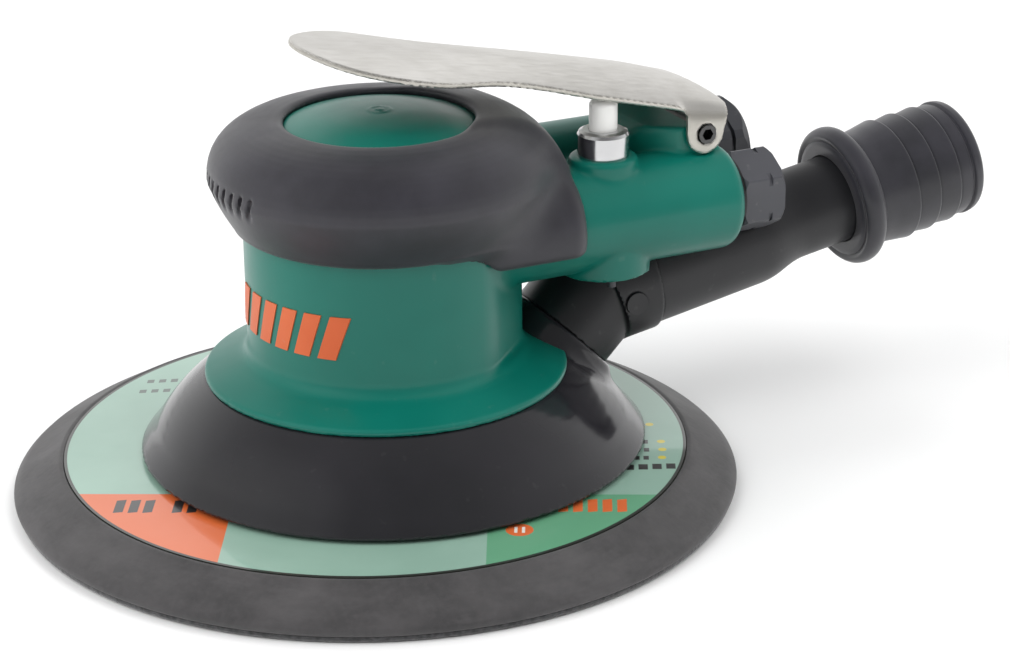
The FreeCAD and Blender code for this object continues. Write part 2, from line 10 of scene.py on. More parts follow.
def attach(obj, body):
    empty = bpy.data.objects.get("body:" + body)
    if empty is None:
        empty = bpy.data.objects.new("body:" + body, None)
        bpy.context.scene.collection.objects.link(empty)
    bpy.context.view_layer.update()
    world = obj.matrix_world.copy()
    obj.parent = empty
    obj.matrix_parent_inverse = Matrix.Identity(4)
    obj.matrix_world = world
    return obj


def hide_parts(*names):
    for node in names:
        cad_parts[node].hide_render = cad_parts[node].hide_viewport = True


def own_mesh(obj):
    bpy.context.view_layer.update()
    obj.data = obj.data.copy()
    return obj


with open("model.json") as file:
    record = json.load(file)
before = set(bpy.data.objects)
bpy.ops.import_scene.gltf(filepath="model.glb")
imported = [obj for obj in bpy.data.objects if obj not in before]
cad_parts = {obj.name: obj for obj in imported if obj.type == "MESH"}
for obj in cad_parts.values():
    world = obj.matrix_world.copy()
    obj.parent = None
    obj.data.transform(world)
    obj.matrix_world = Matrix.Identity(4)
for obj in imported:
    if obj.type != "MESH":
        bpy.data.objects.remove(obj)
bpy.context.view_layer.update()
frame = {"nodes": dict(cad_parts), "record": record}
NODES = frame["nodes"]
MM = 0.001

# ---------------------------------------------------------------- dimensions, millimetres
ORBIT = np.array([2.5 * math.cos(math.radians(157)), 2.5 * math.sin(math.radians(157)), 0.0])
TUBE_Z, TUBE_END = 55.0, 71.5
INLET = np.array([0.0, -13.25, TUBE_Z])
EXHAUST = np.array([0.0, 15.5, TUBE_Z])
VALVE = np.array([43.3, -13.25, 0.0])
PIVOT = np.array([65.2, 0.0, 70.0])
UP = np.array([0.0, 0.0, 1.0])
BACK = np.array([1.0, 0.0, 0.0])
TILT = math.radians(9.85)
HOSE_DIR = np.array([math.cos(TILT), 0.0, math.sin(TILT)])
OUTLET_DIR = np.array([math.sqrt(0.5), 0.0, math.sqrt(0.5)])
MOUTH = np.array([40.8, 0.0, 25.6])
HOSE_REF = np.array([115.0, 0.0, 45.8])


def hose_point(x):
    return np.array([x, 0.0, HOSE_REF[2] + math.tan(TILT) * (x - HOSE_REF[0])])


BEND_X = (HOSE_REF[2] - MOUTH[2] + MOUTH[0] - math.tan(TILT) * HOSE_REF[0]) / (1 - math.tan(TILT))
BEND = hose_point(BEND_X)
LEG_R, SOCKET_R = 11.6, 12.8
LEG_SHIFT = np.array([-0.25, 0.0, 0.25])


def lower_crossing():
    """Where the lower outlines of the two legs meet, in the XZ plane."""
    a = (MOUTH + LEG_SHIFT)[[0, 2]] - LEG_R * np.array([-OUTLET_DIR[2], OUTLET_DIR[0]])
    b = BEND[[0, 2]] - SOCKET_R * np.array([-HOSE_DIR[2], HOSE_DIR[0]])
    t = np.linalg.solve(np.array([OUTLET_DIR[[0, 2]], -HOSE_DIR[[0, 2]]]).T, b - a)
    return a + t[0] * OUTLET_DIR[[0, 2]]


MITRE_AT = np.array([lower_crossing()[0], 0.0, lower_crossing()[1]])
MITRE = np.array([math.cos(math.radians(21.0)), 0.0, math.sin(math.radians(21.0))])


# ---------------------------------------------------------------- distance fields
def length(*parts):
    return np.sqrt(sum(p * p for p in parts))


def join(a, b, k=0.0):
    """Union of two distances, blended over k."""
    if np.isscalar(k) and k <= 0:
        return np.minimum(a, b)
    h = np.clip(0.5 + 0.5 * (b - a) / k, 0, 1)
    return b + (a - b) * h - k * h * (1 - h)


def meet(a, b, k=0.0):
    """Intersection, blended over k."""
    return -join(-a, -b, k)


def cut(a, b, k=0.0):
    """a without b."""
    return meet(a, -b, k)


def rounded(points, r, steps=4):
    """Closed outline with its corners replaced by short arcs of about radius r."""
    pts = [np.array(p, float) for p in points]
    radii = r if isinstance(r, (list, tuple)) else [r] * len(pts)
    out = []
    for i, p in enumerate(pts):
        a, b = pts[i - 1], pts[(i + 1) % len(pts)]
        u, v = a - p, b - p
        lu, lv = np.linalg.norm(u), np.linalg.norm(v)
        reach = min(radii[i], 0.45 * lu, 0.45 * lv)
        if reach < 1e-6:
            out.append(tuple(p))
            continue
        s, e = p + u / lu * reach, p + v / lv * reach
        for k in range(steps + 1):
            t = k / steps
            q = (1 - t) ** 2 * s + 2 * t * (1 - t) * p + t * t * e
            out.append(tuple(q))
    return out


def bow(start, via, end, steps=8):
    """Points of a curve that leaves start towards via and reaches end from via."""
    t = np.linspace(0, 1, steps + 1)[:, None]
    return [tuple(p) for p in (1 - t) ** 2 * start + 2 * t * (1 - t) * via + t * t * end]


def oval(centre, wide, high, power, steps=12):
    """Quarter of a superellipse, from its outer end to its top."""
    angle = np.radians(np.linspace(0, 90, steps + 1))
    x = centre[0] + wide * np.maximum(np.cos(angle), 0) ** (2 / power)
    y = centre[1] + high * np.maximum(np.sin(angle), 0) ** (2 / power)
    return list(zip(x.tolist(), y.tolist()))


def ease(x, a, b):
    """0 before a, 1 after b, smooth between."""
    u = np.clip((x - a) / (b - a), 0, 1)
    return u * u * (3 - 2 * u)


def polygon(q, s, points):
    """Signed distance to a closed outline in the (q, s) plane."""
    best = np.full(q.shape, 1e18)
    inside = np.zeros(q.shape, bool)
    for i in range(len(points)):
        ax, ay = points[i]
        bx, by = points[i - 1]
        ex, ey = bx - ax, by - ay
        wx, wy = q - ax, s - ay
        t = np.clip((wx * ex + wy * ey) / max(ex * ex + ey * ey, 1e-12), 0, 1)
        best = np.minimum(best, (wx - ex * t) ** 2 + (wy - ey * t) ** 2)
        if ey != 0:
            side = (ay > s) != (by > s)
            inside ^= side & (q < ax + ex * (s - ay) / ey)
    return np.where(inside, -1.0, 1.0) * np.sqrt(best)


def about(p, origin, direction):
    """Distance from an axis, and distance along it."""
    d = p - origin
    s = d @ direction
    return np.sqrt(np.maximum((d * d).sum(1) - s * s, 0)), s


def turned(p, points, origin=np.zeros(3), direction=UP):
    q, s = about(p, origin, direction)
    return polygon(q, s, points)


def rod(p, start, direction, r, size, rim=0.0, rim_start=0.0):
    """Round bar from start, with its rims rounded."""
    q, s = about(p, start, direction)
    rr = np.where(s > size / 2, rim, rim_start)
    dq, ds = q - (r - rr), np.abs(s - size / 2) - (size / 2 - rr)
    return np.minimum(np.maximum(dq, ds), 0) + length(np.maximum(dq, 0), np.maximum(ds, 0)) - rr


def block(p, lo, hi, rim=0.0, turn=0.0):
    """Box with rounded edges, turned about the motor axis."""
    c, s = math.cos(turn), math.sin(turn)
    x, y, z = p[:, 0] * c + p[:, 1] * s, -p[:, 0] * s + p[:, 1] * c, p[:, 2]
    lo, hi = np.array(lo, float), np.array(hi, float)
    mid, half = (lo + hi) / 2, (hi - lo) / 2 - rim
    d = [np.abs(v - mid[k]) - half[k] for k, v in enumerate((x, y, z))]
    outside = length(*[np.maximum(v, 0) for v in d])
    return np.minimum(np.maximum(np.maximum(d[0], d[1]), d[2]), 0) + outside - rim


def slab(flat, across, half, rim=0.0):
    """A flat outline distance given thickness about a mid plane, edges rounded."""
    a, b = flat + rim, np.abs(across) - half + rim
    return np.minimum(np.maximum(a, b), 0) + length(np.maximum(a, 0), np.maximum(b, 0)) - rim


# ---------------------------------------------------------------- surface of a distance field
CELL = 8


def sample(field, lo, hi, h):
    """Field values on a grid; only blocks near the surface are worked out in full."""
    lo = np.array(lo, float)
    blocks = np.ceil((np.array(hi, float) - lo) / (h * CELL)).astype(int) + 1
    centres = [lo[k] + h * (np.arange(blocks[k]) * CELL + (CELL - 1) / 2) for k in range(3)]
    c = np.stack(np.meshgrid(*centres, indexing="ij"), -1).reshape(-1, 3)
    coarse = field(c).reshape(blocks)
    grid = coarse.astype(np.float32)
    for k in range(3):
        grid = np.repeat(grid, CELL, k)
    near = np.argwhere(np.abs(coarse) < h * (CELL * 0.87 + 2.5))
    offset = np.stack(np.meshgrid(*[np.arange(CELL)] * 3, indexing="ij"), -1).reshape(-1, 3)
    for first in range(0, len(near), 1200):
        ijk = (near[first:first + 1200, None, :] * CELL + offset[None]).reshape(-1, 3)
        grid[ijk[:, 0], ijk[:, 1], ijk[:, 2]] = field(lo + h * ijk)
    return lo, grid


def surface(field, lo, hi, h, settle=3):
    """Vertices and quads of the zero surface, with vertices pulled onto it."""
    lo, d = sample(field, lo, hi, h)
    neg = d < 0
    shape = np.array(d.shape) - 1
    corners = [(i, j, k) for i in (0, 1) for j in (0, 1) for k in (0, 1)]
    count = sum(neg[i:i + shape[0], j:j + shape[1], k:k + shape[2]].astype(np.int8)
                for i, j, k in corners)
    live = (count > 0) & (count < 8)
    ids = np.full(shape, -1, np.int64)
    cells = np.argwhere(live)
    ids[live] = np.arange(len(cells))
    total, hits = np.zeros((len(cells), 3)), np.zeros(len(cells))
    for a in corners:
        for axis in range(3):
            if a[axis]:
                continue
            b = list(a)
            b[axis] = 1
            ca, cb = cells + a, cells + b
            da = d[ca[:, 0], ca[:, 1], ca[:, 2]].astype(float)
            db = d[cb[:, 0], cb[:, 1], cb[:, 2]].astype(float)
            crossing = (da < 0) != (db < 0)
            t = np.where(crossing, da / np.where(crossing, da - db, 1), 0)
            point = np.array(a, float) + t[:, None] * (np.array(b) - np.array(a))
            total[crossing] += point[crossing]
            hits += crossing
    verts = lo + h * (cells + total / hits[:, None])
    faces = []
    for axis in range(3):
        u, v = (axis + 1) % 3, (axis + 2) % 3
        a = [slice(0, s) for s in shape]
        b = list(a)
        b[axis] = slice(1, shape[axis] + 1)
        found = neg[tuple(a)] != neg[tuple(b)]
        at = np.argwhere(found)
        at = at[(at[:, u] > 0) & (at[:, v] > 0)]
        eu, ev = np.eye(3, dtype=int)[u], np.eye(3, dtype=int)[v]
        quad = np.stack([ids[tuple((at - s).T)] for s in (0 * eu, eu, eu + ev, ev)], 1)
        solid = neg[tuple(at.T)]
        quad[~solid] = quad[~solid][:, ::-1]
        faces.append(quad)
    faces = np.concatenate(faces)
    eps = 0.05 * h
    for _ in range(settle):
        base = field(verts)
        grad = np.stack([(field(verts + eps * np.eye(3)[k]) - base) / eps for k in range(3)], 1)
        size = np.maximum((grad * grad).sum(1), 0.25)
        step = grad * (base / size)[:, None]
        norm = np.maximum(np.linalg.norm(step, axis=1), 1e-9)
        verts -= step * np.minimum(1, 0.4 * h / norm)[:, None]
    return verts, faces


# ---------------------------------------------------------------- mesh helpers
def finish_mesh(mesh, smooth_deg):
    mesh.validate()
    for polygon_ in mesh.polygons:
        polygon_.use_smooth = True
    mesh.set_sharp_from_angle(angle=math.radians(smooth_deg))
    mesh.update()


def solid(name, verts, faces, smooth_deg=40):
    mesh = bpy.data.meshes.new(name)
    mesh.from_pydata((np.asarray(verts) * MM).tolist(), [], np.asarray(faces).tolist()
                     if not isinstance(faces, list) else faces)
    finish_mesh(mesh, smooth_deg)
    obj = bpy.data.objects.new(name, mesh)
    bpy.context.scene.collection.objects.link(obj)
    return obj


def moulded(name, field, lo, hi, h, smooth_deg=50):
    verts, faces = surface(field, lo, hi, h)
    return solid(name, verts, faces, smooth_deg)


def lathe(name, points, origin=(0, 0, 0), direction=UP, segments=160, smooth_deg=35):
    """Turned solid from a closed outline of (radius, distance) points."""
    origin, direction = np.array(origin, float), np.array(direction, float)
    side = np.cross(direction, BACK if abs(direction[2]) > 0.9 else UP)
    side /= np.linalg.norm(side)
    other = np.cross(direction, side)
    angle = np.linspace(0, 2 * math.pi, segments, endpoint=False)
    verts, rows = [], []
    for r, s in points:
        if r < 1e-6:
            rows.append([len(verts)] * segments)
            verts.append(origin + direction * s)
            continue
        rows.append(list(range(len(verts), len(verts) + segments)))
        for a in angle:
            verts.append(origin + direction * s + r * (side * math.cos(a) + other * math.sin(a)))
    faces = []
    n = len(points)
    for i in range(n):
        a, b = rows[i], rows[(i + 1) % n]
        if len(set(a)) == 1 and len(set(b)) == 1:
            continue
        for k in range(segments):
            m = (k + 1) % segments
            loop = list(dict.fromkeys([a[k], a[m], b[m], b[k]]))
            if len(loop) > 2:
                faces.append(loop)
    obj = solid(name, verts, faces, smooth_deg)
    bm = bmesh.new()
    bm.from_mesh(obj.data)
    bmesh.ops.recalc_face_normals(bm, faces=bm.faces)
    bm.to_mesh(obj.data)
    bm.free()
    return obj


def carve(obj, tools, smooth_deg=35):
    """Cuts the tools out of obj and keeps the result as its mesh."""
    for tool in tools:
        mod = obj.modifiers.new("carve", "BOOLEAN")
        mod.operation = "DIFFERENCE"
        mod.solver = "EXACT"
        mod.object = tool
    bpy.context.view_layer.update()
    done = bpy.data.meshes.new_from_object(obj.evaluated_get(bpy.context.evaluated_depsgraph_get()))
    obj.modifiers.clear()
    obj.data = done
    for tool in tools:
        bpy.data.objects.remove(tool)
    finish_mesh(obj.data, smooth_deg)
    return obj


# ---------------------------------------------------------------- shapes of the mouldings
HOUSING_OUTLINE = rounded(
    [(0, 24.8), (37.2, 24.8), (37.2, 26.1), (28.2, 29.8), (28.2, 58.0), (30.0, 62.0), (31.2, 66.0),
     (30.4, 70.5), (26.0, 74.6), (20.4, 76.4), (18.8, 77.4), (12.0, 79.1), (5.0, 79.75), (0, 79.8)],
    [0, 0.55, 0.6, 2.4, 0, 2, 2, 2, 2, 1, 0.8, 3, 3, 0])
LUG_PLAN = rounded([(50, -5), (60.4, -15.4), (69.4, -15.4), (69.4, 15.4), (60.4, 15.4), (50, 5)], 1.0)
LUG_SIDE = rounded([(49.0, 57.0), (49.0, 66.0), (54.0, 71.0), (64.6, 71.6), (68.2, 70.0),
                    (69.4, 67.6), (69.4, 57.0)], 1.4)


def head_shape(p):
    """Outside of the housing, as if it were solid."""
    d = turned(p, HOUSING_OUTLINE)
    for turn in (-math.pi / 4, math.pi / 4):
        d = cut(d, block(p, (26.7, -30, 30.4), (45, 30, 62), 1.0, turn), 1.2)
    tubes = join(rod(p, INLET + BACK * 8, BACK, 11.0, TUBE_END - 8, 2.6),
                 rod(p, EXHAUST + BACK * 8, BACK, 11.0, TUBE_END - 8, 2.6))
    tubes = join(tubes, block(p, (20, -5, 49.5), (66, 7, 61.0), 1.0), 1.5)
    d = join(d, tubes, 2.0)
    lug = meet(slab(polygon(p[:, 0], p[:, 1], LUG_PLAN), p[:, 2] - 64, 8, 0),
               slab(polygon(p[:, 0], p[:, 2], LUG_SIDE), p[:, 1], 15.4, 0), 1.0)
    d = join(d, lug, 0.9)
    d = join(d, rod(p, VALVE + UP * 43.5, UP, 9.6, 12.5, 0, 0.35), 0.4)
    d = join(d, block(p, (43.3, -19.1, 42.9), (51.2, -12.0, 52.0), 0.35), 0.3)
    d = join(d, rod(p, VALVE + UP * 56.0, UP, 7.05, 11.8, 1.0), 1.0)
    gate = rod(p, np.array([0.0, 0.0, 79.4]), UP, 1.0, 0.6, 0.2)
    ridge = np.abs(about(p, np.zeros(3), UP)[0] - 2.0) - 0.25
    ridge = meet(ridge, np.abs(p[:, 2] - 79.6) - 0.35)
    return join(join(d, gate, 0.2), ridge, 0.3)


def housing(p):
    d = head_shape(p)
    d = cut(d, rod(p, UP * 20, UP, 25.0, 43.1), 0.4)
    d = cut(d, rod(p, UP * 60, UP, 11.0, 8.0))
    d = cut(d, rod(p, INLET + BACK * 36, BACK, 7.6, 60), 0.5)
    d = cut(d, rod(p, EXHAUST + BACK * 34, BACK, 9.4, 60), 0.5)
    d = cut(d, rod(p, VALVE + UP * 54, UP, 4.65, 30), 0.4)
    d = cut(d, rod(p, VALVE + UP * 42, UP, 6.05, 8.5), 0.5)
    outlet = rod(p, MOUTH - OUTLET_DIR * 20, OUTLET_DIR, 12.2, 40)
    d = cut(d, meet(outlet, p[:, 2] - 36), 0.5)
    d = cut(d, rod(p, np.array([65.2, -20, 70.0]), np.array([0.0, 1, 0]), 2.0, 40))
    for y in (-17.6, 15.4):
        d = cut(d, rod(p, np.array([65.2, y, 70.0]), np.array([0.0, 1, 0]), 4.7, 2.2), 0.3)
    return d


GRIP_R, GRIP_WIDEST_Z = 34.9, 67.0
GRIP_LIP_R, GRIP_TOP_Z = 19.9, 78.45
GRIP_FLANK = bow((30.3, 57.8), (33.2, 62.2), (GRIP_R, GRIP_WIDEST_Z))
GRIP_CROWN = oval((GRIP_LIP_R, GRIP_WIDEST_Z), GRIP_R - GRIP_LIP_R, GRIP_TOP_Z - GRIP_WIDEST_Z, 2.3)
GRIP_FOOT, GRIP_LIP = [(0, 56.5), (29.0, 56.5), (30.2, 57.4)], [(18.6, 77.0), (0, 77.0)]
GRIP_OUTLINE = rounded(GRIP_FOOT + GRIP_FLANK + GRIP_CROWN[1:] + GRIP_LIP,
                       [0, 0.8, 0.6] + [0] * (len(GRIP_FLANK) + len(GRIP_CROWN) - 2) + [0.9, 0, 0])
RIB_Z = 66.8
TAIL_SIDE = rounded([(2, 50.6), (33.2, 50.6), (34.8, 57.0), (34.4, 66.0), (31.0, 71.6), (25.0, 76.0),
                     (2, 77.4)], 5.0)


def grip(p):
    d = turned(p, GRIP_OUTLINE)
    tail = join(rod(p, INLET + BACK * 2, BACK, 13.1, 32.6, 4.0),
                rod(p, EXHAUST + BACK * 2, BACK, 12.9, 32.6, 4.0), 6.0)
    middle = slab(polygon(p[:, 0], p[:, 2], TAIL_SIDE), p[:, 1] - 1.1, 15.5, 3.0)
    tail = join(tail, middle, 5.0)
    tail = meet(tail, 50.9 - p[:, 2], 2.0)
    below = meet(about(p, np.zeros(3), UP)[0] - 28.6, p[:, 2] - 56.5)
    tail = cut(tail, below, 0.6)
    d = join(d, tail, 5.0)
    # shallow finger ribs on the front of the sleeve
    for k in range(9):
        a = math.radians(159.0 + 5.0 * k)
        across = -p[:, 0] * math.sin(a) + p[:, 1] * math.cos(a)
        outward = p[:, 0] * math.cos(a) + p[:, 1] * math.sin(a)
        slanted = across - 0.3 * (p[:, 2] - RIB_Z)
        rib = length(np.maximum(np.abs(p[:, 2] - RIB_Z) - 2.0, 0), slanted)
        d = cut(d, np.maximum(rib - 0.5, 33.9 - outward), 0.4)
    d = cut(d, head_shape(p) - 0.08, 0.3)
    d = cut(d, rod(p, UP * 70, UP, 19.1, 20), 0.5)
    return cut(d, rod(p, UP * 40, UP, 27.5, 32))


SKIRT_FOOT, SKIRT_KNEE, SKIRT_TOP = (51.3, 9.2), (48.2, 13.0), (36.9, 24.78)
SKIRT_BOW = bow(SKIRT_KNEE, (44.0, 20.1), SKIRT_TOP)
SHROUD_OUTLINE = rounded([(0, 9.2), SKIRT_FOOT] + SKIRT_BOW + [(0, SKIRT_TOP[1])],
                         [0, 0.9, 2.0] + [0] * (len(SKIRT_BOW) - 2) + [0.5, 0])
SHROUD_HOLLOW = ([(0, 9.0), (48.6, 9.0)] + [(r - 2.4, z - 1.0) for r, z in SKIRT_BOW[:-1]]
                 + [(35, 22.8), (0, 22.8)])


def shroud(p):
    # the skirt spreads a little wider below the outlet
    low = np.clip((24.0 - p[:, 2]) / 12.0, 0, 1)
    ahead = np.maximum(p[:, 0], 0) / np.maximum(length(p[:, 0], p[:, 1]), 1e-6)
    spread = 1 + 0.062 * ahead ** 2 * low * low * (3 - 2 * low)
    eased = p / np.stack([spread, spread, np.ones(len(p))], 1)
    d = turned(eased, SHROUD_OUTLINE)
    outlet = rod(p, MOUTH - OUTLET_DIR * 20, OUTLET_DIR, 12.8, 20, 0.8)
    outlet = cut(outlet, rod(p, np.zeros(3), UP, 26.5, 60))
    outlet = meet(outlet, 9.2 - p[:, 2])
    d = join(d, outlet, 4.0)
    d = cut(d, turned(eased, SHROUD_HOLLOW), 0.5)
    d = cut(d, rod(p, MOUTH - OUTLET_DIR * 20, OUTLET_DIR, 10.9, 21), 0.4)
    d = cut(d, rod(p, UP * 20, UP, 26.0, 10), 0.4)
    # the part that lies under the flange is hidden, so it stops short inside it
    flange = turned(p, [(0, 25.4), (36.4, 25.4), (27.8, 29.2), (27.8, 50), (0, 50)])
    return cut(d, flange)


def head_room(p, gap):
    """Room that the head's tubes, boss and end fittings take, grown by a gap."""
    d = rod(p, INLET + BACK * 10, BACK, 11.0 + gap, TUBE_END - 10 + gap)
    for start, direction, r, size in (
            (EXHAUST + BACK * 10, BACK, 11.0, TUBE_END - 10),
            (INLET + BACK * 70, BACK, 8.9, 12.0),
            (EXHAUST + BACK * 70, BACK, 11.3, 19.5),
            (VALVE + UP * (43.8 - gap), UP, 9.5, 12.0)):
        d = np.minimum(d, rod(p, start, direction, r + gap, size + gap))
    return d


def two_legs(p, r1, r2, start, end):
    """Two round legs that meet on the bend's mitre plane."""
    side = (p - MITRE_AT) @ MITRE
    leg_1 = meet(rod(p, MOUTH + LEG_SHIFT - OUTLET_DIR * start, OUTLET_DIR, r1, 60), side)
    leg_2 = meet(rod(p, BEND - HOSE_DIR * 40, HOSE_DIR, r2, 40 + end, 0.5), -side)
    return leg_1, leg_2


def elbow(p):
    leg_1, leg_2 = two_legs(p, LEG_R, SOCKET_R, 0.0, 8.6)
    d = join(leg_1, leg_2, 0.6)
    d = join(d, rod(p, MOUTH - OUTLET_DIR * 4, OUTLET_DIR, 10.8, 6.0))
    screw = BEND + HOSE_DIR * 2.0 + np.array([0, -13.2, -1.0])
    ahead = np.array([0.0, 1.0, 0.0])
    d = cut(d, rod(p, screw - ahead, ahead, 2.45, 1.7), 0.2)
    d = cut(d, head_room(p, 0.4), 0.8)
    inner_1, inner_2 = two_legs(p, 10.0, 10.0, 6.0, 20.0)
    room = head_room(p, 2.4)
    d = cut(d, cut(join(inner_1, inner_2), room))
    socket = rod(p, BEND + HOSE_DIR * 3.0, HOSE_DIR, 11.75, 20)
    return cut(d, cut(socket, head_room(p, 1.1)))


COS_TILT = math.cos(TILT)
TUBE_FROM = BEND_X + 3.0


def along(x):
    return (x - TUBE_FROM) / COS_TILT


HOSE_OUTLINE = rounded([(0, 0), (11.7, 0), (11.7, 5.3), (12.1, 5.7), (11.9, along(86.5)), (9.7, along(93.7)),
                        (9.7, along(118)), (0, along(118))], [0, 0.6, 0, 0, 2.5, 2.5, 0.4, 0])
HOSE_BORE = [(0, -1), (10.0, -1), (10.0, along(86.0)), (8.0, along(94.6)), (8.0, along(119)),
             (0, along(119))]


def hose_tube(p):
    start = BEND + HOSE_DIR * 3.0
    d = turned(p, HOSE_OUTLINE, start, HOSE_DIR)
    d = cut(d, head_room(p, 1.1), 0.8)
    bore = cut(turned(p, HOSE_BORE, start, HOSE_DIR), head_room(p, 2.4))
    d = cut(d, bore)
    groove = turned(p, [(9.2, -1.6), (12, -1.6), (12, 0.2), (9.2, 0.2)], HOSE_REF, HOSE_DIR)
    return cut(d, groove)


# throttle lever: plan of the leaf, then the height of its top face
NOSE_X, PADDLE_X, WAIST_X, SHOULDER_X = -17.2, 1.0, 23.0, 42.0
PADDLE_HALF, WAIST_HALF, SHOULDER_HALF = 20.5, 15.6, 17.2


def leaf_flank():
    """Near side of the leaf's plan: rounded nose, paddle, waist and shoulder."""
    nose = oval((0, 0), PADDLE_X - NOSE_X, PADDLE_HALF, 1.9, 15)
    flank = [(PADDLE_X - x, w) for x, w in nose]
    for x in np.arange(PADDLE_X + 2, SHOULDER_X + 0.1, 2.0):
        if x < WAIST_X:
            turn, wide = (x - PADDLE_X) / (WAIST_X - PADDLE_X), PADDLE_HALF
        else:
            turn, wide = (SHOULDER_X - x) / (SHOULDER_X - WAIST_X), SHOULDER_HALF
        flank.append((x, WAIST_HALF + (wide - WAIST_HALF) * (0.5 + 0.5 * math.cos(math.pi * turn))))
    return flank


FLANK = leaf_flank()
REAR_CORNER = rounded([(60.0, 17.2), (68.6, 17.2), (70.2, 16.4), (71.2, 14.4), (71.9, 9.0), (72.0, 0.0)],
                      [0, 0.7, 0.8, 0.9, 2.0, 0], 3)
HALF_PLAN = FLANK + REAR_CORNER
LEVER_PLAN = HALF_PLAN + [(x, -w) for x, w in reversed(HALF_PLAN[1:-1])]


def lever_crown(x):
    """Height on the centre line: a gentle fall, a lifted nose and a rear that turns down."""
    fall = 92.05 - 0.16 * x - 0.0006 * x * x
    return fall + 0.0092 * np.minimum(x + 9, 0) ** 2 - 0.0065 * np.maximum(x - 55, 0) ** 2


def lever_sag(x):
    """How far the sheet has dropped at |y| = 17: deepest in front of the pin."""
    rise = 1.8 * ease(x, -4, 28) + 1.35 * ease(x, 20, 64)
    return 0.6 + rise * (1 - ease(x, 60, 76))


EAR_SIDE = rounded([(60.7, 78.5), (60.8, 74.0), (60.9, 70.0), (69.2, 70.0), (70.2, 73.2), (70.4, 78.5)], 0.8)


def lever_top(x, y):
    """Height of the sheet's top face: an arch that steepens towards its edges."""
    q = np.minimum(np.abs(y), 22.0) / 17.0
    return lever_crown(x) - lever_sag(x) * (0.8 * q ** 2 + 0.2 * q ** 5)


def lever(p):
    x, y, z = p[:, 0], p[:, 1], p[:, 2]
    top = lever_top(x, y)
    sx = (lever_top(x + 0.2, y) - lever_top(x - 0.2, y)) / 0.4
    sy = (lever_top(x, y + 0.2) - lever_top(x, y - 0.2)) / 0.4
    flat = 1 / np.sqrt(1 + sx * sx + sy * sy)
    above = (z - top) * flat
    foot_x, foot_y = x + above * sx * flat, y + above * sy * flat
    outline = polygon(foot_x, foot_y, LEVER_PLAN)
    sheet = slab(outline, above + 0.6, 0.6, 0.3)
    side = join(polygon(x, z, EAR_SIDE), length(x - PIVOT[0] + 0.15, z - PIVOT[2]) - 4.15, 0.6)
    ears = slab(side, np.abs(y) - 16.6, 0.6, 0.3)
    ears = meet(ears, above + 0.5, 0.5)
    d = join(sheet, ears, 1.4)
    bend = meet(above, np.abs(y) - 17.2, 3.2)
    wrap = np.clip((x - 58.6) / 2.0, 0, 1)
    d = np.where(x > 58.6, np.maximum(d, bend * wrap + above * (1 - wrap)), d)
    return cut(d, rod(p, np.array([PIVOT[0], -20, PIVOT[2]]), np.array([0.0, 1, 0]), 2.05, 40), 0.25)


